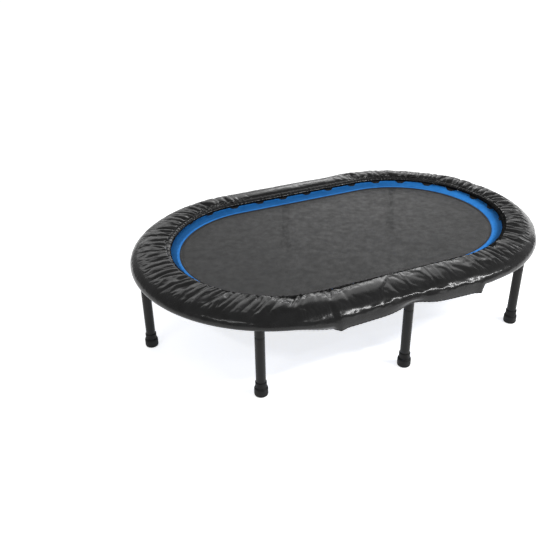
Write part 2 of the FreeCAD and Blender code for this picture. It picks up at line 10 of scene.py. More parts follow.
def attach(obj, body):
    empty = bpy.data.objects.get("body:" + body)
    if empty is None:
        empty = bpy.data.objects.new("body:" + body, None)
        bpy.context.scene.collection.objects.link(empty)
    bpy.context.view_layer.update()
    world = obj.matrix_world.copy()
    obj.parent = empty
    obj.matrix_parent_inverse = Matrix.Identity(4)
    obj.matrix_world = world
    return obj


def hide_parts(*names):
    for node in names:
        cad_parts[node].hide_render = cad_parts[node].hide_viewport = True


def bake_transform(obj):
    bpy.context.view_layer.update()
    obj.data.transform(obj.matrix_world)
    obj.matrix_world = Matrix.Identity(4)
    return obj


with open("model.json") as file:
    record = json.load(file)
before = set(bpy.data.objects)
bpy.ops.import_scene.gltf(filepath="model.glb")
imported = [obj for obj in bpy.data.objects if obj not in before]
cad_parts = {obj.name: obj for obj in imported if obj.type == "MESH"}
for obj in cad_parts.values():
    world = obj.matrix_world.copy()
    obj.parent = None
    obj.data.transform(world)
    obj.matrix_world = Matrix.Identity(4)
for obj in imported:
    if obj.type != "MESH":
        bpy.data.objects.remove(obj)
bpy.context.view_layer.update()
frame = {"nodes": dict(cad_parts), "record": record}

# Every ring of the trampoline is a stadium: two straight sides joined by half circles whose centres
# are at (+-HALF, 0). Rings differ only in their radius, so a place on one is given by its run along
# the pad's outer edge, its radius and its height. Metres throughout; MM turns millimetres into them.
MM = 0.001
HALF = 205 * MM
PAD_OUTER = 387 * MM
MAT_HEIGHT = 209 * MM
TUBE_RING = 365 * MM
TUBE_RADIUS = 16 * MM
LEG_LEAN = math.radians(61)
PERIMETER = 4 * HALF + 2 * math.pi * PAD_OUTER
BEND = math.pi * PAD_OUTER


# ---------------------------------------------------------------- helpers


def stations(count):
    """count places evenly round the pad's outer edge, from the middle of the front side to the
    right: run, x of the place's centre, and the direction in which its radius is measured."""
    run = np.arange(count) * PERIMETER / count
    centre = np.empty(count)
    turn = np.empty(count)
    for n, s in enumerate(run):
        if s < HALF:
            centre[n], turn[n] = s, -math.pi / 2
        elif s < HALF + BEND:
            centre[n], turn[n] = HALF, -math.pi / 2 + (s - HALF) / PAD_OUTER
        elif s < 3 * HALF + BEND:
            centre[n], turn[n] = HALF - (s - HALF - BEND), math.pi / 2
        elif s < 3 * HALF + 2 * BEND:
            centre[n] = -HALF
            turn[n] = math.pi / 2 + (s - 3 * HALF - BEND) / PAD_OUTER
        else:
            centre[n], turn[n] = s - PERIMETER, -math.pi / 2
    return run, centre, np.cos(turn), np.sin(turn)


def straightness(run, soft=0.018, shift=0.004):
    """1 on the straight sides, 0 on the bends, with a soft step at each tangent point."""
    s = np.mod(run, PERIMETER)
    middle = np.minimum(s, PERIMETER - s)
    back = np.abs(s - PERIMETER / 2)
    reach = np.minimum(middle, back)
    return 1 - smooth((reach - HALF - shift) / soft + 0.5)


def smooth(t):
    t = np.clip(t, 0, 1)
    return t * t * (3 - 2 * t)


def apart(run, place):
    """Signed distance along the edge from place to run, the short way round."""
    return np.mod(run - place + PERIMETER / 2, PERIMETER) - PERIMETER / 2


def new_object(name, points, faces, smooth_faces=True):
    mesh = bpy.data.meshes.new(name)
    mesh.from_pydata([tuple(p) for p in points], [], faces)
    mesh.update()
    mesh.polygons.foreach_set("use_smooth", [smooth_faces] * len(mesh.polygons))
    obj = bpy.data.objects.new(name, mesh)
    bpy.context.scene.collection.objects.link(obj)
    return obj


def join_up(name, parts, smooth_faces=True):
    """One object from several (points, faces) pairs."""
    points, faces = [], []
    for more, polygons in parts:
        shift = len(points)
        points.extend(more)
        faces.extend(tuple(i + shift for i in f) for f in polygons)
    return new_object(name, points, faces, smooth_faces)


def end_caps(columns, rows):
    """The faces that close the two ends of an open tube of columns rings of rows points."""
    return [tuple(range(rows)), tuple((columns - 1) * rows + k for k in reversed(range(rows)))]


def grid_faces(columns, rows, wrap_columns=True, wrap_rows=False, flip=False):
    """Quads of a grid whose point (column, row) is number column * rows + row."""
    faces = []
    for j in range(columns if wrap_columns else columns - 1):
        nxt = (j + 1) % columns
        for i in range(rows if wrap_rows else rows - 1):
            up = (i + 1) % rows
            quad = (j * rows + i, nxt * rows + i, nxt * rows + up, j * rows + up)
            faces.append(quad[::-1] if flip else quad)
    return faces


def sweep_ring(profile, count, wobble=None):
    """A closed profile of (radius, height) taken round the stadium. wobble(run, i) moves a point."""
    run, centre, nx, ny = stations(count)
    points = []
    for j in range(count):
        for i, (radius, height) in enumerate(profile):
            dr, dz = wobble(run[j], i) if wobble else (0.0, 0.0)
            r = radius + dr
            points.append((centre[j] + nx[j] * r, ny[j] * r, height + dz))
    return points, grid_faces(count, len(profile), wrap_rows=True)


def tube(points, radius, sides, closed=False, squeeze=None):
    """A round tube along points. squeeze(n) scales its radius at point n."""
    points = np.asarray(points, float)
    count = len(points)
    if closed:
        along = np.roll(points, -1, 0) - np.roll(points, 1, 0)
    else:
        along = np.gradient(points, axis=0)
    along /= np.linalg.norm(along, axis=1)[:, None]
    first = np.cross(along[0], (0, 0, 1))
    if np.linalg.norm(first) < 0.1:
        first = np.cross(along[0], (0, 1, 0))
    normal = first / np.linalg.norm(first)
    rings = []
    for n in range(count):
        normal = normal - along[n] * np.dot(normal, along[n])
        normal /= np.linalg.norm(normal)
        other = np.cross(along[n], normal)
        size = radius * (squeeze(n) if squeeze else 1.0)
        for k in range(sides):
            a = 2 * math.pi * k / sides
            rings.append(points[n] + size * (math.cos(a) * normal + math.sin(a) * other))
    faces = grid_faces(count, sides, wrap_columns=closed, wrap_rows=True)
    if not closed:
        faces += end_caps(count, sides)
    return [tuple(p) for p in rings], faces


def ribbon(line, across, thick, widen=None):
    """A flat tape along a line of (out, up) points, as (out, across, up) points. across and thick
    are its section's places and half thicknesses, and widen(out) scales its width."""
    steps = np.gradient(line, axis=0)
    normal = np.stack([-steps[:, 1], steps[:, 0]], axis=1)
    normal /= np.linalg.norm(normal, axis=1)[:, None]
    section = list(zip(across, thick))
    points = []
    for p, m in zip(line, normal):
        wide = widen(p[0]) if widen else 1.0
        points += [(p[0] + m[0] * t, wide * y, p[1] + m[1] * t) for y, t in section]
        points += [(p[0] - m[0] * t, wide * y, p[1] - m[1] * t) for y, t in reversed(section)]
    sides = 2 * len(section)
    faces = grid_faces(len(line), sides, wrap_columns=False, wrap_rows=True)
    return points, faces + end_caps(len(line), sides)


def stitch_line(path, up, length, gap, radius, closed=True, lift=0.0):
    """Short threads along a path, each a little capsule that dips into the cloth at its ends."""
    path = np.asarray(path, float)
    if closed:
        path = np.vstack([path, path[:1]])
    steps = np.linalg.norm(np.diff(path, axis=0), axis=1)
    mark = np.concatenate([[0], np.cumsum(steps)])
    count = int(mark[-1] / (length + gap))
    pitch = mark[-1] / count
    up = np.asarray(up, float)
    parts = []
    for n in range(count):
        at = (n + 0.5) * pitch + np.linspace(-0.5, 0.5, 4) * length
        line = np.stack([np.interp(at, mark, path[:, c]) for c in range(3)], axis=1)
        line += up * (lift + radius * np.array([-0.6, 0.5, 0.5, -0.6])[:, None])
        parts.append(tube(line, radius, sides=5))
    return parts


def lathe(profile, x, y):
    """A turned piece about a vertical axis at (x, y) from (radius, height) points, ends closed."""
    points = []
    rows, segments = len(profile), 36
    for k in range(segments):
        a = 2 * math.pi * k / segments
        points += [(x + r * math.cos(a), y + r * math.sin(a), z) for r, z in profile]
    faces = grid_faces(segments, rows)
    faces.append(tuple(k * rows for k in reversed(range(segments))))
    faces.append(tuple(k * rows + rows - 1 for k in range(segments)))
    return points, faces


# ---------------------------------------------------------------- materials


class Nodes:
    """A small helper that adds linked shader nodes to one material."""

    def __init__(self, name):
        self.material = bpy.data.materials.new(name)
        self.material.use_nodes = True
        self.tree = self.material.node_tree
        self.shader = self.tree.nodes["Principled BSDF"]
        coordinates = self.tree.nodes.new("ShaderNodeTexCoord")
        self.place = coordinates.outputs["Object"]

    def node(self, kind, **settings):
        node = self.tree.nodes.new(kind)
        for key, setting in settings.items():
            setattr(node, key, setting)
        return node

    def feed(self, socket, source):
        if isinstance(source, bpy.types.NodeSocket):
            self.tree.links.new(source, socket)
        else:
            socket.default_value = source

    def noise(self, scale, detail=3.0):
        node = self.node("ShaderNodeTexNoise")
        self.feed(node.inputs["Vector"], self.place)
        node.inputs["Scale"].default_value = scale
        node.inputs["Detail"].default_value = detail
        node.inputs["Roughness"].default_value = 0.5
        return node.outputs["Fac"]

    def cells(self, scale):
        node = self.node("ShaderNodeTexVoronoi", feature="F1")
        self.feed(node.inputs["Vector"], self.place)
        node.inputs["Scale"].default_value = scale
        return node.outputs["Distance"]

    def bands(self, scale, axis):
        node = self.node("ShaderNodeTexWave", bands_direction=axis, wave_profile="SIN")
        self.feed(node.inputs["Vector"], self.place)
        node.inputs["Scale"].default_value = scale
        return node.outputs["Fac"]

    def math(self, operation, a, b):
        node = self.node("ShaderNodeMath", operation=operation)
        self.feed(node.inputs[0], a)
        self.feed(node.inputs[1], b)
        return node.outputs["Value"]

    def between(self, source, low, high, start=0.3, end=0.7):
        node = self.node("ShaderNodeMapRange")
        self.feed(node.inputs["Value"], source)
        node.inputs["From Min"].default_value = start
        node.inputs["From Max"].default_value = end
        node.inputs["To Min"].default_value = low
        node.inputs["To Max"].default_value = high
        return node.outputs["Result"]

    def mix(self, share, a, b):
        node = self.node("ShaderNodeMix", data_type="RGBA")
        colour_a, colour_b, result = node.inputs[6], node.inputs[7], node.outputs[2]
        self.feed(node.inputs["Factor"], share)
        self.feed(colour_a, a)
        self.feed(colour_b, b)
        return result

    def bump(self, height, depth, strength, under=None):
        node = self.node("ShaderNodeBump")
        node.inputs["Strength"].default_value = strength
        node.inputs["Distance"].default_value = depth
        self.feed(node.inputs["Height"], height)
        if under:
            self.feed(node.inputs["Normal"], under)
        return node.outputs["Normal"]

    def finish(self, colour, rough, normal=None, metal=0.0, **sockets):
        self.feed(self.shader.inputs["Base Color"], colour)
        self.feed(self.shader.inputs["Roughness"], rough)
        self.shader.inputs["Metallic"].default_value = metal
        if normal:
            self.feed(self.shader.inputs["Normal"], normal)
        for key, setting in sockets.items():
            self.shader.inputs[key.replace("_", " ")].default_value = setting
        return self.material


def grey(level, tint=(1.0, 1.0, 1.0)):
    return tuple(level * t for t in tint) + (1.0,)


def vinyl_material():
    """Glossy black vinyl with a fine leather grain."""
    n = Nodes("vinyl")
    colour = n.mix(n.between(n.noise(28), 0, 1), grey(0.008), grey(0.015, (1, 1, 1.03)))
    rough = n.between(n.noise(45, 4), 0.2, 0.31)
    pores = n.bump(n.cells(900), 0.00006, 0.4)
    fine = n.bump(n.noise(260, 3), 0.00010, 0.3, pores)
    return n.finish(colour, rough, fine, Specular_IOR_Level=0.2, Coat_Weight=0.18, Coat_Roughness=0.14)


def backing_material():
    """Woven plastic cloth under the pad."""
    n = Nodes("backing")
    weave = n.math("MULTIPLY", n.bands(260, "X"), n.bands(260, "Y"))
    colour = n.mix(n.between(n.noise(30), 0, 1), grey(0.018), grey(0.032))
    return n.finish(colour, n.between(weave, 0.55, 0.75), n.bump(weave, 0.0002, 0.6))


def mat_material(name, low, high, alpha):
    """Woven polypropylene mesh of the bed."""
    n = Nodes(name)
    weave = n.math("MAXIMUM", n.bands(330, "X"), n.bands(330, "Y"))
    ribs = n.bands(52, "Y")
    cloud = n.between(n.noise(5, 2), 0.2, 0.8)
    colour = n.mix(cloud, grey(low), grey(high))
    colour = n.mix(n.between(weave, 0.0, 0.25, 0.2, 0.9), colour, grey(high * 1.5))
    height = n.math("ADD", weave, n.math("MULTIPLY", ribs, 0.15))
    rough = n.between(n.noise(60), 0.42, 0.58)
    return n.finish(colour, rough, n.bump(height, 0.00025, 0.2), Alpha=alpha, Specular_IOR_Level=0.18)


def webbing_material(name, dark, light, scale=300, gloss=0.18):
    """Flat woven tape, with scale for how fine its weave is and gloss for its specular level."""
    n = Nodes(name)
    rows = n.math("MULTIPLY", n.bands(scale, "X"), n.bands(scale, "Y"))
    twill = n.bands(scale * 0.7, "DIAGONAL")
    height = n.math("ADD", rows, n.math("MULTIPLY", twill, 0.6))
    shade = n.math("ADD", n.between(n.noise(40, 4), 0, 0.6), n.math("MULTIPLY", twill, 0.4))
    return n.finish(n.mix(shade, dark, light), 0.75, n.bump(height, 0.00022, 0.7), Specular_IOR_Level=gloss)


def thread_material(name, colour):
    n = Nodes(name)
    twist = n.bands(900, "DIAGONAL")
    darker = tuple(0.6 * c for c in colour[:3]) + (1,)
    return n.finish(n.mix(twist, colour, darker), 0.6, n.bump(twist, 0.0001, 0.6))


def powder_material():
    """Satin black powder coat with a faint orange peel."""
    n = Nodes("powder_black")
    colour = n.mix(n.between(n.noise(18, 4), 0, 1), grey(0.005), grey(0.009))
    rough = n.between(n.noise(35, 4), 0.3, 0.42)
    peel = n.bump(n.noise(620, 2), 0.00008, 0.6)
    return n.finish(colour, rough, peel, Specular_IOR_Level=0.2)


def metal_material(name, dark, light, low, high):
    """Metal that varies between two colours and two roughnesses."""
    n = Nodes(name)
    colour = n.mix(n.between(n.noise(90, 5), 0, 1), dark, light)
    rough = n.between(n.noise(225, 3), low, high)
    return n.finish(colour, rough, n.bump(n.noise(900, 2), 0.00004, 0.5), metal=1.0)


def rubber_material():
    n = Nodes("rubber")
    colour = n.mix(n.between(n.noise(50, 4), 0, 1), grey(0.004), grey(0.009))
    rough = n.between(n.noise(80, 3), 0.5, 0.68)
    return n.finish(colour, rough, n.bump(n.noise(1100, 3), 0.0001, 0.5), Specular_IOR_Level=0.2)


def elastic_material():
    n = Nodes("elastic")
    ribs = n.bands(380, "DIAGONAL")
    return n.finish(n.mix(ribs, grey(0.012), grey(0.03)), 0.75, n.bump(ribs, 0.0002, 0.7))


def floor_material():
    n = Nodes("floor")
    colour = n.mix(n.between(n.noise(3, 2), 0, 1), grey(0.86), grey(0.88))
    return n.finish(colour, 0.9, Specular_IOR_Level=0.1, Emission_Color=grey(1.0), Emission_Strength=0.72)


VINYL = vinyl_material()
BACKING = backing_material()
MAT = mat_material("mat_cloth", 0.017, 0.022, 0.888)
MAT_HEM = mat_material("mat_hem_cloth", 0.010, 0.016, 1.0)
BLUE = webbing_material("border_blue", (0.014, 0.185, 0.60, 1), (0.034, 0.28, 0.80, 1), 240)
WEBBING = webbing_material("webbing", grey(0.010), grey(0.022))
# The lip's binding: a near-black, dull weave whose darkness is painted shade of the lip's inner wall.
PAINTED_SHADE_BINDING = webbing_material("lip_binding_painted_shade", grey(0.004), grey(0.008), 420, 0.06)
POWDER = powder_material()
ZINC = metal_material("zinc", grey(0.50, (0.98, 1, 1.03)), grey(0.68, (0.98, 1, 1.04)), 0.26, 0.4)
STEEL = metal_material("bare_steel", grey(0.42), grey(0.56, (1, 0.99, 0.97)), 0.3, 0.46)
RUBBER = rubber_material()
ELASTIC = elastic_material()
DARK_THREAD = thread_material("dark_thread", grey(0.014))
BLUE_THREAD = thread_material("blue_thread", (0.05, 0.24, 0.62, 1))


def dress(obj, material):
    obj.data.materials.clear()
    obj.data.materials.append(material)


SLOT_MATERIALS = {
    "powder_black": POWDER,
    "bare_steel": STEEL,
    "zinc": ZINC,
    "vinyl": VINYL,
    "foam": BACKING,
    "backing": BACKING,
    "mat_cloth": MAT,
    "border_blue": BLUE,
    "webbing": WEBBING,
    "elastic": ELASTIC,
    "rubber": RUBBER,
}
for subpart in frame["record"]["subparts"]:
    dress(frame["nodes"][subpart["node"]], SLOT_MATERIALS[subpart["material_slot"]])

# ---------------------------------------------------------------- the pad

# Sections of the cover from the underside of its lip, over the foam and the tube, to its hem:
# (radius, height) in millimetres. On the front half the lip stands higher and further in, so that it
# hides the border behind it. On the bends the hem is drawn in under the tube, and on the straight
# sides it hangs.
BACK_LIP = [(297.5, 224.6), (296.2, 222.4), (294.2, 221.0), (292.2, 221.4), (291.2, 223.4), (292.2, 226.4),
            (296.6, 229.6), (303.2, 232.6)]
FRONT_LIP = [(297.0, 222.8), (294.4, 221.0), (291.0, 221.0), (288.2, 222.6), (287.0, 226.0), (288.4, 230.2),
             (293.2, 233.6), (302.0, 235.6)]
TOP = [(312, 236.2), (324, 237.0), (340, 236.0), (354, 233.2), (366, 229.2)]
BEND_SIDE = [(374.8, 225.0), (381.4, 218.9), (385.3, 213.6), (386.9, 208.2), (386.2, 203.4),
             (383.6, 199.6), (380.4, 197.6), (377.6, 197.0)]
STRAIGHT_SIDE = [(375.4, 225.2), (382.9, 218.5), (387.2, 212.4), (389.0, 205.2), (389.4, 198.6),
                 (389.3, 192.6), (388.9, 187.2), (388.2, 182.6)]
SECTION_LENGTH = 145 * MM
COLUMNS = 1100
SEAM = 0.165  # the sewn seam's share of the section
SEAM_ROW = 11
PAINTED_SHADE_ROWS = (5, 14)  # rows of the lip's binding, on the back and on the front; their near-black, dull weave is painted shade of the lip's inner wall
SLACK = (6.5 * MM, 2.5 * MM)  # how far the loose opening lies to the right and to the back
LEFT_SLACK = 5.5 * MM  # how much further to the right it lies at its left end
EDGE_SLACK = 2.5 * MM  # how far the outer edge lies to the left
GATHER_FADE = (0.11, -0.03)  # soft step and shift where the bends' gathers fade out
GATHER_GAP = (17, 31)  # millimetres from one valley of the gathers to the next
FINE_GAP = (7, 13)
FORK_CHANCE = 0.35
FAR_CALM = 0.15  # share of the gathers' and creases' depth on the far straight side
NEAR_CREASES = 0.7
SIM_FRAMES = 16
IN_LIMIT, OUT_LIMIT, SIDE_LIMIT = 2 * MM, 1.8 * MM, 3 * MM  # how far a simulated point may go


def along_profile(profile, marks):
    """Points at the given shares of a profile's length, rounded off at its corners."""
    p = np.array(profile, float) * MM
    for _ in range(3):
        cut = np.empty((2 * len(p) - 2, 2))
        cut[0::2] = 0.75 * p[:-1] + 0.25 * p[1:]
        cut[1::2] = 0.25 * p[:-1] + 0.75 * p[1:]
        p = np.vstack([p[:1], cut, p[-1:]])
    mark = np.concatenate([[0], np.cumsum(np.linalg.norm(np.diff(p, axis=0), axis=1))])
    at = np.asarray(marks) * mark[-1]
    return np.interp(at, mark, p[:, 0]), np.interp(at, mark, p[:, 1])


# Shares of the section's length at the cover's rows, closer together near the sewn lip.
ROWS = np.concatenate([np.linspace(0, 0.24, 17), np.linspace(0.24, 1.0, 29)[1:]])
RUN, CENTRE, NX, NY = stations(COLUMNS)


def drawn_right(points):
    """Points of the pad as the loose cover lies: its opening a little to the right and to the back,
    and its outer edge a little to the left."""
    points = np.array(points, float)
    beyond = np.maximum(np.abs(points[..., 0]) - HALF, 0)
    ring = np.hypot(beyond, points[..., 1])
    share = 1 - smooth((ring - 292 * MM) / (70 * MM))
    left = LEFT_SLACK * smooth((-points[..., 0] - 250 * MM) / (200 * MM))
    points[..., 0] += (SLACK[0] + left) * share - EDGE_SLACK * smooth((ring - 330 * MM) / (45 * MM))
    points[..., 1] += SLACK[1] * share
    return points


def frontness(ny=NY):
    """1 on the front side, where the lip stands up, and 0 on the back side."""
    return smooth(0.45 - 0.8 * ny)


def cover_base():
    """The smooth cover: radius, height and outward direction of each point. Its skirt is lifted and
    drawn in at the two middle legs, and flares at its four corners."""
    w = straightness(RUN)[:, None]
    near_left = np.abs(apart(RUN, PERIMETER - HALF))
    low = np.maximum(w, (1 - smooth(near_left / (115 * MM)))[:, None])
    front = frontness()[:, None]
    radius = height = 0
    for lip, share in ((BACK_LIP, 1 - front), (FRONT_LIP, front)):
        bend_r, bend_z = along_profile(lip + TOP + BEND_SIDE, ROWS)
        side_r, side_z = along_profile(lip + TOP + STRAIGHT_SIDE, ROWS)
        radius = radius + share * ((1 - w) * bend_r + w * side_r)
        height = height + share * ((1 - low) * bend_z + low * side_z)
    skirt = smooth((ROWS - 0.74) / 0.26)[None, :]
    for middle_leg in (0.0, PERIMETER / 2):
        off = apart(RUN, middle_leg)[:, None]
        near = np.exp(-(((off - 6 * MM) / (46 * MM)) ** 2))
        wide = np.exp(-((off / (130 * MM)) ** 2))
        pulled = np.exp(-(((off - 2 * MM) / (42 * MM)) ** 2))
        height = height + skirt ** 1.5 * MM * (8.5 * near + 5.5 * wide)
        radius = radius - skirt * 9.5 * MM * pulled
    corners = ((HALF, 1), (HALF + BEND, -1), (HALF + BEND + 2 * HALF, 1), (3 * HALF + 2 * BEND, -1))
    for corner, inward in corners:
        off = apart(RUN, corner - inward * 4 * MM)[:, None]
        flare = np.exp(-((off / (13 * MM)) ** 2))
        radius = radius + skirt * 3.2 * MM * flare
        height = height - skirt * 2.0 * MM * flare
    dr = np.gradient(radius, axis=1)
    dz = np.gradient(height, axis=1)
    size = np.hypot(dr, dz)
    return radius, height, -dz / size, dr / size


def gathers(radius):
    """How far the cover stands out from its smooth shape: cusped valleys run outwards from the
    sewn seam, dense on the bends and few on the straight sides, with slanting creases there."""
    dice = random.Random(41)
    rise = np.zeros_like(radius)
    v = ROWS[None, :]
    squeeze = radius / PAD_OUTER
    start = smooth((v - SEAM - 0.008) / 0.055)

    def bend_share(run):
        return 1 - float(straightness(np.array([run]), *GATHER_FADE)[0])

    def valley(run, slant, bow, depth, reach, width):
        line = apart(RUN, run)[:, None] - slant * (v - SEAM) - bow * np.sin(v * 6.5 + run * 40)
        real = np.abs(line) * squeeze
        fade = start * (1 - smooth((v - SEAM - reach * 0.5) / (reach * 0.55)))
        spread = width * (0.75 + 1.3 * v)
        return -depth * fade * np.exp(-((real / spread) ** 1.15))

    def calm(run):
        return FAR_CALM if abs(float(apart(run, PERIMETER / 2))) < HALF else 1.0

    # right is 1 near the right end, where the valleys are deepest, left is 1 near the left end, where
    # they lie further apart, and lean slants them near the front left.
    run = 0.0
    while run < PERIMETER - 7 * MM:
        bend = bend_share(run)
        right = math.exp(-((float(apart(run, HALF + 0.42 * BEND)) / (330 * MM)) ** 2))
        depth = (0.8 * calm(run) + (4.2 + 1.4 * right) * bend) * dice.choice((0.5, 0.85, 1.0, 1.3))
        depth *= dice.uniform(0.85, 1.15) * MM
        reach = dice.uniform(0.28 + 0.12 * right, 0.66) * (0.75 + 0.25 * bend)
        lean = -70 * MM * math.exp(-((float(apart(run, PERIMETER - 330 * MM)) / (230 * MM)) ** 2))
        slant = lean + dice.gauss(0, 16) * MM
        width = dice.uniform(3.2, 6.0) * MM
        rise += valley(run, slant, dice.uniform(-3, 3) * MM, depth, reach, width)
        if dice.random() < FORK_CHANCE:
            fork = dice.choice((-1, 1)) * dice.uniform(8, 14) * MM
            rise += valley(run + fork, slant - 1.4 * fork, 0.0, depth * 0.6, reach * 0.55, width * 0.7)
        left = math.exp(-((float(apart(run, PERIMETER - HALF - 0.55 * BEND)) / (300 * MM)) ** 2))
        run += dice.uniform(*GATHER_GAP) * MM * (1.4 - 0.4 * bend + 0.3 * left)
    # Short fine valleys, all round, next to the seam.
    run = 0.0
    while run < PERIMETER - 4 * MM:
        depth = (0.4 * calm(run) + 0.3 * bend_share(run)) * dice.uniform(0.5, 1.5) * MM
        rise += valley(run, dice.uniform(-8, 8) * MM, 0.0, depth, dice.uniform(0.10, 0.22), 2.4 * MM)
        run += dice.uniform(*FINE_GAP) * MM
    crown = start * (1 - smooth((v - 0.45) / 0.3))
    bends = 1 - straightness(RUN, *GATHER_FADE)[:, None]
    rise += crown * (0.8 * MM + 1.7 * MM * bends)
    rise -= 2.1 * MM * np.exp(-(((v - SEAM) / 0.014) ** 2))
    rise += ruffle(dice) * (1 - smooth((v - 0.145) / 0.05)) * smooth((v - 0.02) / 0.04)
    rise += edge_ridge(dice)
    return rise + creases(dice)


def ruffle(dice):
    """Small waves of the sewn edge under the seam."""
    wave = np.zeros_like(RUN)
    for count in (173, 229, 271, 337):
        turns = 2 * math.pi * count * RUN / PERIMETER
        wave += dice.uniform(0.3, 0.55) * MM * np.sin(turns + dice.uniform(0, 6.28))
    return (wave * (1 + 0.5 * frontness()))[:, None]


def edge_ridge(dice):
    """The crisp, slightly wrinkled fold where the cover turns down over the foam's outer edge. It
    lies higher at the two middle legs."""
    middle = np.minimum(np.abs(apart(RUN, 0.0)), np.abs(apart(RUN, PERIMETER / 2)))
    level = 0.805 - 0.075 * np.exp(-((middle / (105 * MM)) ** 2)) * straightness(RUN)
    straight = straightness(RUN, 0.05)
    height = 0.5 + 0.5 * straight
    for count in (17, 41, 67, 113, 151):
        turns = 2 * math.pi * count * RUN / PERIMETER
        level += dice.uniform(0.0015, 0.004) * np.sin(turns + dice.uniform(0, 6.28))
        height += dice.uniform(0.08, 0.22) * np.sin(1.3 * turns + dice.uniform(0, 6.28))
    off = ROWS[None, :] - level[:, None]
    sharp = np.exp(-((off / 0.03) ** 2))
    groove = np.exp(-(((off - 0.06) / 0.035) ** 2))
    crumple = 0
    for length, tilt, size in ((17, 60, 0.13), (29, -60, 0.26), (47, 45, 0.42), (83, -40, 0.5)):
        crumple = crumple + size * np.sin(RUN[:, None] * 2 * math.pi / (length * MM) + off * tilt + length)
    crumple = crumple * np.exp(-((off / 0.06) ** 2)) * (0.25 + 0.75 * straight[:, None])
    return MM * (height[:, None] * (sharp - 0.4 * groove) + crumple)


def creases(dice):
    """Slanting folds on the straight sides and a few slow waves all round."""
    rise = np.zeros((COLUMNS, len(ROWS)))
    v = ROWS[None, :] * SECTION_LENGTH
    for middle in (0.0, PERIMETER / 2):
        for _ in range(15):
            start = middle + dice.uniform(-215, 215) * MM
            low = dice.uniform(0.12, 0.4) * SECTION_LENGTH
            long = dice.uniform(34, 80) * MM
            lean = dice.uniform(0.45, 1.25) * dice.choice((-1, 1))
            across, up = math.cos(lean), math.sin(abs(lean))
            a = apart(RUN, start)[:, None]
            b = v - low
            along = np.clip((a * across * np.sign(lean) + b * up) / long, 0, 1)
            away = np.hypot(a - along * long * across * np.sign(lean), b - along * long * up)
            size = dice.uniform(0.9, 2.4) * MM * np.sin(np.pi * np.clip(along, 0.02, 0.98)) ** 0.7
            size = size * (FAR_CALM if middle else NEAR_CREASES)
            rise += dice.choice((-1, 1, -1)) * size * np.exp(-((away / (dice.uniform(5, 8) * MM)) ** 1.4))
    for _ in range(26):
        place = dice.uniform(0, PERIMETER)
        wide = dice.uniform(22, 48) * MM
        level = dice.uniform(0.3, 0.95)
        bump = np.exp(-((apart(RUN, place)[:, None] / wide) ** 2)
                      - (((ROWS[None, :] - level) / 0.16) ** 2))
        rise += dice.uniform(-1.5, 1.5) * MM * bump
    return rise * smooth((ROWS[None, :] - 0.08) / 0.08)


def simulate_cover(obj, base, normals):
    """Lets the gathered vinyl grow and settle as cloth, then limits how far each point has gone."""
    columns, rows = base.shape[:2]
    group = obj.vertex_groups.new(name="held")
    held = 0.08 + 0.92 * smooth((ROWS - 0.6) / 0.14)
    held[:SEAM_ROW - 1] = 1.0
    held[SEAM_ROW - 1:SEAM_ROW + 2] = (0.8, 0.5, 0.2)
    for i, weight in enumerate(held):
        group.add([j * rows + i for j in range(columns)], float(weight), "REPLACE")
    cloth = obj.modifiers.new("Cloth", "CLOTH")
    cloth.settings.quality = 5
    cloth.settings.mass = 0.3
    cloth.settings.tension_stiffness = 15
    cloth.settings.compression_stiffness = 15
    cloth.settings.shear_stiffness = 6
    cloth.settings.bending_stiffness = 0.35
    cloth.settings.air_damping = 1.5
    cloth.settings.vertex_group_mass = "held"
    cloth.settings.pin_stiffness = 1.0
    cloth.settings.shrink_min = -0.045
    cloth.settings.use_pressure = True
    cloth.settings.uniform_pressure_force = 3.0
    cloth.settings.effector_weights.gravity = 0
    cloth.collision_settings.use_collision = False
    cloth.collision_settings.use_self_collision = False
    cloth.point_cache.frame_start = 1
    cloth.point_cache.frame_end = SIM_FRAMES
    for number in range(1, SIM_FRAMES + 1):
        bpy.context.scene.frame_set(number)
    settled = obj.evaluated_get(bpy.context.evaluated_depsgraph_get()).to_mesh()
    co = np.empty(len(settled.vertices) * 3, np.float32)
    settled.vertices.foreach_get("co", co)
    obj.modifiers.remove(cloth)
    obj.vertex_groups.clear()
    bpy.context.scene.frame_set(1)
    moved = co.reshape(base.shape).astype(float) - base
    out = (moved * normals).sum(axis=2)
    aside = moved - out[..., None] * normals
    taut = np.where(NY > 0, 0.75, 0.45) * straightness(RUN, 0.06)
    limited = np.clip(out, -IN_LIMIT, OUT_LIMIT) * (1 - taut)[:, None]
    reach = np.linalg.norm(aside, axis=2)
    aside *= np.minimum(1, SIDE_LIMIT / np.maximum(reach, 1e-9))[..., None]
    return base + limited[..., None] * normals + aside


def build_cover():
    radius, height, out_r, out_z = cover_base()
    rise = gathers(radius)
    radius = radius + rise * out_r
    height = height + rise * out_z
    grid = np.stack([CENTRE[:, None] + NX[:, None] * radius, NY[:, None] * radius, height], axis=2)
    grid = drawn_right(grid)
    rows = len(ROWS)
    faces = grid_faces(COLUMNS, rows)
    cover = new_object("pad_cover_vinyl", grid.reshape(-1, 3), faces)
    normals = np.stack([NX[:, None] * out_r, NY[:, None] * out_r, out_z], axis=2)
    grid = simulate_cover(cover, grid, normals)
    cover.data.vertices.foreach_set("co", grid.astype(np.float32).ravel())
    cover.data.update()
    finer = cover.modifiers.new("Finer", "SUBSURF")
    finer.levels = 1
    finer.render_levels = 1
    skin = cover.modifiers.new("Skin", "SOLIDIFY")
    skin.thickness = 1.2 * MM
    skin.offset = -1.0
    dress(cover, VINYL)
    # The lip's first rows take the binding's near-black material as painted shade, with more rows on the
    # front.
    cover.data.materials.append(PAINTED_SHADE_BINDING)
    few, many = PAINTED_SHADE_ROWS
    edge = few + (many - few) * frontness()
    painted_shade_faces = [1 if n % (rows - 1) < edge[n // (rows - 1)] else 0 for n in range(len(cover.data.polygons))]
    cover.data.polygons.foreach_set("material_index", painted_shade_faces)
    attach(cover, "frame")
    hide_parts("pad_cover", "pad_foam")
    return grid


cover_grid = build_cover()

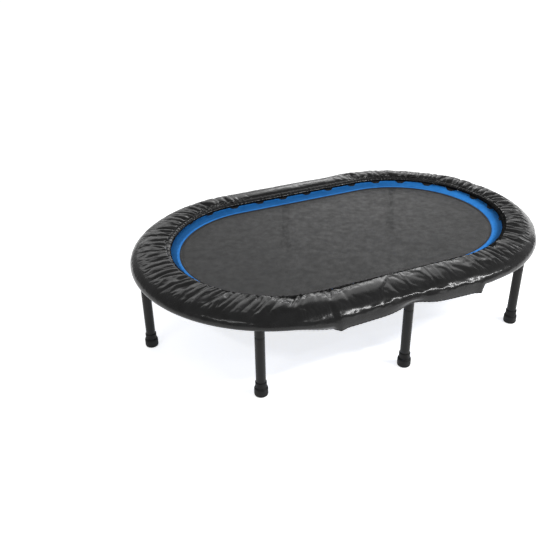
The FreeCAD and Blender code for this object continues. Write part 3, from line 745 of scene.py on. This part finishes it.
hem_path = cover_grid[:, -1, :]
hem_roll = tube(hem_path, 1.9 * MM, 8, True, lambda n: 1 + 0.18 * math.sin(n * 1.7))
hem = join_up("pad_hem_roll", [hem_roll])
dress(hem, VINYL)
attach(hem, "frame")
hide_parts("pad_elastic_hem")

seam_path = cover_grid[:, SEAM_ROW - 2, :]
seam_threads = stitch_line(seam_path, (0, 0, 1), 3.6 * MM, 2.2 * MM, 0.3 * MM, lift=0.2 * MM)
seam = join_up("pad_lip_stitches", seam_threads)
dress(seam, DARK_THREAD)
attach(seam, "frame")


def lip_elastic():
    """The elastic in the lip, which draws the cover in."""
    _, centre, nx, ny = stations(700)
    front = frontness(ny)
    radius = (294.8 - 2.3 * front) * MM
    height = (225.3 - 0.7 * front) * MM
    path = np.stack([centre + nx * radius, ny * radius, height], axis=1)
    cord = join_up("pad_lip_elastic", [tube(drawn_right(path), 1.5 * MM, 8, True)])
    dress(cord, ELASTIC)
    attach(cord, "frame")
    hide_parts("pad_elastic_inner")


lip_elastic()


def pad_underside():
    """The woven backing under the pad, a thin closed sheet with loose ripples."""
    profile = [(298.5, 225.2), (303, 225.0), (330, 224.6), (352, 225.1), (362, 225.3), (370, 224.6),
               (370, 225.1), (362, 225.9), (352, 225.8), (330, 225.3), (303, 225.7), (298.5, 225.9)]
    scaled = [(r * MM, z * MM) for r, z in profile]

    def ripple(run, i):
        loose = 1 if i in (1, 2, 9, 10) else 0.2
        return 0.0, 0.5 * MM * math.sin(run * 61 + 0.4 * min(i, 11 - i)) * loose

    points, faces = sweep_ring(scaled, 480, ripple)
    sheet = join_up("pad_underside", [(drawn_right(points), faces)])
    dress(sheet, BACKING)
    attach(sheet, "frame")
    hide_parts("pad_backing")


pad_underside()

# ---------------------------------------------------------------- the mat

CURL = 8.2  # how far the border's outer part turns up towards the pad's lip, in millimetres
BORDER_TOP = 1.95  # half the border's thickness, in millimetres
SPRINGS_A_BEND = 12
SPRINGS_A_SIDE = 4
TAB_WIDTH = 16 * MM


def closing_faces(count, rows, shift, flip):
    """Faces across the slit that a grid's innermost row leaves. Each place on the front side is
    joined to the one straight behind it."""
    def place(j):
        return shift + (j % count) * rows + rows - 1

    half = count // 2
    quarter = half // 2
    faces = []
    for j in range(-quarter, quarter):
        quad = [place(j), place(j + 1), place(half - j - 1), place(half - j)]
        face = tuple(dict.fromkeys(quad))
        faces.append(face[::-1] if flip else face)
    return faces


def mat_bed():
    """The woven bed, one thin closed sheet that curls up with the border, with faint ripples
    towards its loops."""
    count = 520
    half_thick = 0.5 * MM
    ripple_pitch = 0.0865
    run, centre, nx, ny = stations(count)
    radii = [299, 296.5, 294, 291.5, 289, 286, 282, 276, 262, 246, 225, 200, 170, 140, 110, 80, 50, 25, 8]
    points = []
    rows = len(radii)
    for side in (1, -1):
        for j in range(count):
            for radius in radii:
                r = radius * MM
                wave = math.sin(run[j] * 2 * math.pi / ripple_pitch)
                ripple = 0.25 * MM * math.exp((radius - 300) / 26) * wave
                z = MAT_HEIGHT + curl(radius) * MM + ripple + side * half_thick
                points.append((centre[j] + nx[j] * r, ny[j] * r, z))
    faces = grid_faces(count, rows)
    shift = count * rows
    faces += [tuple(i + shift for i in f) for f in grid_faces(count, rows, flip=True)]
    faces += closing_faces(count, rows, 0, False) + closing_faces(count, rows, shift, True)
    for j in range(count):
        nxt = (j + 1) % count
        faces.append((j * rows, shift + j * rows, shift + nxt * rows, nxt * rows))
    bed = new_object("mat_bed", points, faces)
    dress(bed, MAT)
    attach(bed, "mat")
    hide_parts("jump_mat")
    return bed


def ring_path(radius, height):
    """A level ring of points at the given radius."""
    count = 700
    _, centre, nx, ny = stations(count)
    return np.stack([centre + nx * radius, ny * radius, np.full(count, height)], axis=1)


def mat_hem():
    """The doubled edge of the bed that shows inside the border."""
    profile = [(254, 0.5), (254.3, 1.05), (256, 1.2), (259, 1.2), (262.5, 1.1), (262.5, 0.5)]
    scaled = [(r * MM, MAT_HEIGHT + z * MM) for r, z in profile]
    points, faces = sweep_ring(scaled, 420)
    band = join_up("mat_hem_band", [(off_centre(points), faces)])
    dress(band, MAT_HEM)
    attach(band, "mat")
    path = off_centre(ring_path(256.6 * MM, MAT_HEIGHT + 1.2 * MM))
    lines = stitch_line(path, (0, 0, 1), 3.2 * MM, 1.8 * MM, 0.25 * MM)
    thread = join_up("mat_hem_stitches", lines)
    dress(thread, DARK_THREAD)
    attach(thread, "mat")
    return [band, thread]


def off_centre(points):
    """The border and the hem as sewn on, their inner edge a little to the right and to the back."""
    points = np.array(points, float)
    ring = np.hypot(np.maximum(np.abs(points[..., 0]) - HALF, 0), points[..., 1])
    inner = 1 - smooth((ring - 264 * MM) / (28 * MM))
    points[..., 0] += (1.5 + 3.5 * inner) * MM
    points[..., 1] += 4.5 * MM * inner
    return points


def curl(radius):
    """How far the border's outer part turns up towards the pad's lip, in millimetres."""
    return CURL * float(smooth((radius - 282) / 19) * (1 - smooth((radius - 303.2) / 3.2)))


def mat_border():
    """The blue band folded over the edge of the bed."""
    profile = [(261, 0.62), (261.1, 1.7), (264, 1.95), (275, 1.8), (288, 1.8), (299, 1.95), (302, 1.5),
               (303, 0.0), (302, -1.5), (299, -1.95), (288, -1.8), (275, -1.8), (264, -1.95),
               (261.1, -1.7), (261, -0.62), (299.5, -0.62), (300.3, 0.0), (299.5, 0.62)]
    scaled = [(r * MM, MAT_HEIGHT + (z + curl(r)) * MM) for r, z in profile]
    scallop_pitch = 0.101

    def scallop(run, i):
        wave = math.sin(run * 2 * math.pi / scallop_pitch)
        return (0.35 * MM * wave if 5 <= i <= 9 else 0.0), 0.12 * MM * math.sin(run * 190 + i)

    points, faces = sweep_ring(scaled, 900, scallop)
    band = join_up("mat_border_band", [(off_centre(points), faces)])
    dress(band, BLUE)
    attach(band, "mat")
    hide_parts("mat_border")
    lines = []
    for radius in (263.6, 281.0, 299.4):
        path = off_centre(ring_path(radius * MM, MAT_HEIGHT + (BORDER_TOP + curl(radius)) * MM))
        lines += stitch_line(path, (0, 0, 1), 3.4 * MM, 1.6 * MM, 0.32 * MM)
    under = off_centre(ring_path(263.6 * MM, MAT_HEIGHT - BORDER_TOP * MM))
    lines += stitch_line(under, (0, 0, -1), 3.4 * MM, 1.6 * MM, 0.32 * MM)
    thread = join_up("mat_border_stitches", lines)
    dress(thread, BLUE_THREAD)
    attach(thread, "mat")
    return [band, thread]


def spring_places():
    """The centre on the long axis and the direction of each of the 32 springs."""
    gap = 2 * HALF / (SPRINGS_A_SIDE + 1)
    places = []
    for centre, start in ((HALF, -90), (-HALF, 90)):
        places += [(centre, math.radians(start + n * 180 / (SPRINGS_A_BEND - 1)))
                   for n in range(SPRINGS_A_BEND)]
    for n in range(1, SPRINGS_A_SIDE + 1):
        places += [(-HALF + n * gap, math.pi / 2), (-HALF + n * gap, -math.pi / 2)]
    return places


def placed(points, centre, turn):
    """Points of a piece drawn along +X from the bend's centre, turned to its own place."""
    c, s = math.cos(turn), math.sin(turn)
    return [(centre + x * c - y * s, x * s + y * c, MAT_HEIGHT + z) for x, y, z in points]


def mat_tabs():
    """Webbing loops sewn over the border, each round the bar of its ring."""
    path = [(290.5, 2.25), (291.5, 2.6), (293.5, 2.75), (296, 2.8), (300, 2.75), (303.4, 2.65), (305.4, 2.1),
            (306.8, 1.1), (307.2, 0),
            (306.8, -1.1), (305.4, -2.1), (303.4, -2.65), (300, -2.75), (296, -2.8), (293.5, -2.75),
            (291.5, -2.6), (290.5, -2.25)]
    line = np.array([(r, z + curl(r)) for r, z in path]) * MM
    across = np.array([-0.5, -0.46, -0.25, 0, 0.25, 0.46, 0.5]) * TAB_WIDTH
    thick = np.array([0.25, 0.5, 0.42, 0.46, 0.42, 0.5, 0.25]) * MM
    box = [(293.8, -5), (300.5, -7), (300.5, 7), (293.8, 5), (293.8, -5), (300.5, 7)]
    stitch_height = 3.15

    def flare(out):
        sewn = smooth((304.5 * MM - out) / (4 * MM))
        return 1 + sewn * (1.25 - 1.5 * smooth((300 * MM - out) / (11 * MM)))

    loop, faces = ribbon(line, across, thick, flare)
    parts, threads = [], []
    dice = random.Random(7)
    for centre, turn in spring_places():
        skew = dice.uniform(-0.012, 0.012)
        parts.append((placed(loop, centre, turn + skew), faces))
        for (x0, y0), (x1, y1) in zip(box, box[1:]):
            ends = np.array([(x0, y0, stitch_height + curl(x0)), (x1, y1, stitch_height + curl(x1))]) * MM
            for points, polygons in stitch_line(ends, (0, 0, 1), 2.2 * MM, 1.0 * MM, 0.28 * MM, closed=False):
                threads.append((placed(points, centre, turn + skew), polygons))
    tabs = join_up("mat_webbing_tabs", parts)
    dress(tabs, WEBBING)
    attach(tabs, "mat")
    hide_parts("mat_tabs")
    thread = join_up("mat_tab_stitches", threads)
    dress(thread, DARK_THREAD)
    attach(thread, "mat")
    return [tabs, thread]


def coil_springs():
    """Wound springs, each stretching from its hole in the tube to its ring on the mat."""
    wire = 1.3 * MM
    coil = 4.2 * MM
    ring_hook = 315.5 * MM
    coil_start = 321.5 * MM + wire
    turns, segments = 7, 14
    hook = 4 * MM
    path = []
    for a in np.linspace(math.radians(-250), math.radians(-20), 14):
        path.append((ring_hook + hook * math.cos(a), 0.0, hook * math.sin(a)))
    path.append((ring_hook + hook + 0.6 * MM, 0.0, 0.2 * MM))
    path.append((coil_start - 0.6 * MM, 0.4 * coil, 0.3 * coil))
    for n in range(turns * segments + 1):
        a = 2 * math.pi * n / segments + 0.9
        x = coil_start + 2 * wire * n / segments
        path.append((x, coil * math.cos(a), coil * math.sin(a)))
    coil_end = path[-1][0]
    path.append((coil_end + 1.6 * MM, 0.35 * coil, 0.5 * coil))
    path.append((coil_end + 3.2 * MM, 0.0, 0.0))
    bend = 354.5 * MM
    path.append((bend - 4 * MM, 0.0, 0.0))
    for a in np.linspace(-90, 0, 6):
        t = math.radians(a)
        path.append((bend + hook * math.cos(t), 0.0, hook + hook * math.sin(t)))
    points, faces = tube(path, wire * 0.94, 7)
    for n, (centre, turn) in enumerate(spring_places()):
        spring = new_object(f"spring_{n + 1:02d}", placed(points, centre, turn), faces)
        dress(spring, STEEL)
        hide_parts("springs")
        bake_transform(spring)


bed = mat_bed()
sewn_on = mat_hem() + mat_border() + mat_tabs()
coil_springs()

# ---------------------------------------------------------------- straps, welds and studs


def tie_straps():
    """Webbing straps that go under the tube and are sewn to the pad's backing."""
    wrap = 17 * MM
    inner = TUBE_RING - 17.2 * MM
    line = [(inner, z * MM) for z in (225, 221, 216, 211)]
    for turn in np.radians(np.linspace(180, 418, 25)):
        line.append((TUBE_RING + wrap * math.cos(turn), MAT_HEIGHT + wrap * math.sin(turn)))
    across = np.array([-0.5, -0.44, -0.2, 0.2, 0.44, 0.5]) * 15 * MM
    thick = np.array([0.2, 0.5, 0.42, 0.42, 0.5, 0.2]) * MM
    loop, faces = ribbon(np.array(line), across, thick)
    turned_over = [face[::-1] for face in faces]
    parts = []
    for x in (-26 * MM, 26 * MM):
        for side in (-1, 1):
            points = [(x + w, side * out, up) for out, w, up in loop]
            parts.append((points, turned_over if side > 0 else faces))
    straps = join_up("pad_tie_straps", parts)
    dress(straps, WEBBING)
    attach(straps, "frame")
    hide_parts("pad_ties")


def leg_places():
    """Each leg's name, place and the direction that its ring's radius has there."""
    places = {"left": (-HALF, math.pi), "right": (HALF, 0.0), "front": (0.0, -math.pi / 2),
              "back": (0.0, math.pi / 2), "front_right": (HALF, -LEG_LEAN),
              "back_right": (HALF, LEG_LEAN), "front_left": (-HALF, math.pi + LEG_LEAN),
              "back_left": (-HALF, math.pi - LEG_LEAN)}
    return {name: (c + TUBE_RING * math.cos(a), TUBE_RING * math.sin(a), a)
            for name, (c, a) in places.items()}


def weld_beads():
    """The rippled weld where each leg socket meets the round of the tube."""
    parts = []
    segments = 48
    socket = 12.9 * MM
    for x, y, turn in leg_places().values():
        path = []
        for n in range(segments):
            a = 2 * math.pi * n / segments
            out, along = socket * math.cos(a), socket * math.sin(a)
            z = MAT_HEIGHT - math.sqrt((TUBE_RADIUS + 0.2 * MM) ** 2 - out ** 2)
            path.append((x + out * math.cos(turn) - along * math.sin(turn),
                         y + out * math.sin(turn) + along * math.cos(turn), z))
        parts.append(tube(path, 1.5 * MM, 7, True, lambda n: 1 + 0.22 * math.sin(n * 2.1)))
    beads = join_up("socket_weld_beads", parts)
    dress(beads, POWDER)
    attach(beads, "frame")


def threaded_studs():
    """The plug, shoulder and threaded stud in the top of each leg."""
    plug_profile = [(0.4, 153), (10.9, 153), (10.9, 169), (12.3, 169), (12.3, 170.9), (0.4, 171)]
    core_profile = [(0.4, 170.5), (5.2, 170.5), (5.2, 188.6), (4.4, 189.8), (0.4, 190)]
    plug = [(r * MM, z * MM) for r, z in plug_profile]
    core = [(r * MM, z * MM) for r, z in core_profile]
    low, top, pitch = 172.2, 189.2, 1.75
    root, crest_radius = 5.1, 5.96
    segments, rows = 20, 4
    count = int((top - low) / pitch * segments)
    faces = grid_faces(count + 1, rows, wrap_columns=False, wrap_rows=True) + end_caps(count + 1, rows)
    for name, (x, y, _) in leg_places().items():
        shoulder = join_up(f"stud_plug_{name}", [lathe(plug, x, y)], smooth_faces=False)
        dress(shoulder, RUBBER)
        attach(shoulder, f"leg_{name}")
        helix = []
        for n in range(count + 1):
            a = 2 * math.pi * n / segments
            z = low + pitch * n / segments
            crest = crest_radius - 0.8 * max(0.0, (z - 187.2) / 2.0)
            for r, dz in ((root, -0.72), (crest, -0.14), (crest, 0.14), (root, 0.72)):
                helix.append((x + r * MM * math.cos(a), y + r * MM * math.sin(a), (z + dz) * MM))
        parts = [lathe(core, x, y), (helix, faces)]
        stud = join_up(f"threaded_stud_{name}", parts, smooth_faces=False)
        dress(stud, ZINC)
        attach(stud, f"leg_{name}")
        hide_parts(f"leg_stud_{name}")


tie_straps()
weld_beads()
threaded_studs()

# ---------------------------------------------------------------- floor, light and camera


def set_stage():
    size = 14.0
    level = -0.4 * MM
    corners = [(-size, -size, level), (size, -size, level), (size, size, level), (-size, size, level)]
    floor = new_object("floor", corners, [(0, 1, 2, 3)])
    dress(floor, floor_material())


def add_light(name, place, target, size, energy):
    data = bpy.data.lights.new(name, "AREA")
    data.shape = "RECTANGLE"
    data.size, data.size_y = size
    data.energy = energy
    light = bpy.data.objects.new(name, data)
    aim = Vector(target) - Vector(place)
    light.rotation_euler = aim.to_track_quat("-Z", "Y").to_euler()
    light.location = place
    bpy.context.scene.collection.objects.link(light)


def set_light():
    world = bpy.data.worlds.new("studio")
    world.use_nodes = True
    background = world.node_tree.nodes["Background"]
    background.inputs["Color"].default_value = (1.0, 1.0, 1.0, 1.0)
    background.inputs["Strength"].default_value = 0.36
    scene = bpy.context.scene
    scene.world = world
    scene.view_settings.view_transform = "Standard"
    add_light("back", (0.9, 2.6, 1.9), (0.1, 0.1, 0.2), (4.6, 2.2), 36)
    add_light("far", (1.55, 2.5, 1.2), (0.2, 0.3, 0.22), (1.3, 0.6), 6.5)
    add_light("strip", (1.7, -1.6, 2.0), (1.7, -0.3, 0.2), (1.9, 0.15), 62)
    add_light("left", (-1.9, -1.05, 1.7), (-0.4, -0.3, 0.2), (1.0, 0.08), 8)
    add_light("front", (0.2, -2.0, 1.8), (-0.25, -0.38, 0.2), (0.3, 0.07), 2)
    add_light("right", (2.4, 0.9, 0.6), (0.5, -0.1, 0.22), (0.5, 1.0), 2.5)


def set_camera():
    azimuth, pitch, roll = math.radians(23.48), math.radians(29.64), math.radians(-0.97)
    forward = Vector((math.sin(azimuth) * math.cos(pitch), math.cos(azimuth) * math.cos(pitch),
                      -math.sin(pitch)))
    level = Vector((math.cos(azimuth), -math.sin(azimuth), 0))
    rise = level.cross(forward)
    right = level * math.cos(roll) + rise * math.sin(roll)
    up = rise * math.cos(roll) - level * math.sin(roll)
    data = bpy.data.cameras.new("camera")
    data.sensor_width = 36
    data.lens = 46.23
    camera = bpy.data.objects.new("camera", data)
    turned = Matrix((right, up, -forward)).transposed().to_4x4()
    place = (-0.89117, -1.58828, 1.11382)
    camera.matrix_world = Matrix.Translation(place) @ turned
    bpy.context.scene.collection.objects.link(camera)
    bpy.context.scene.camera = camera


set_stage()
set_light()
set_camera()
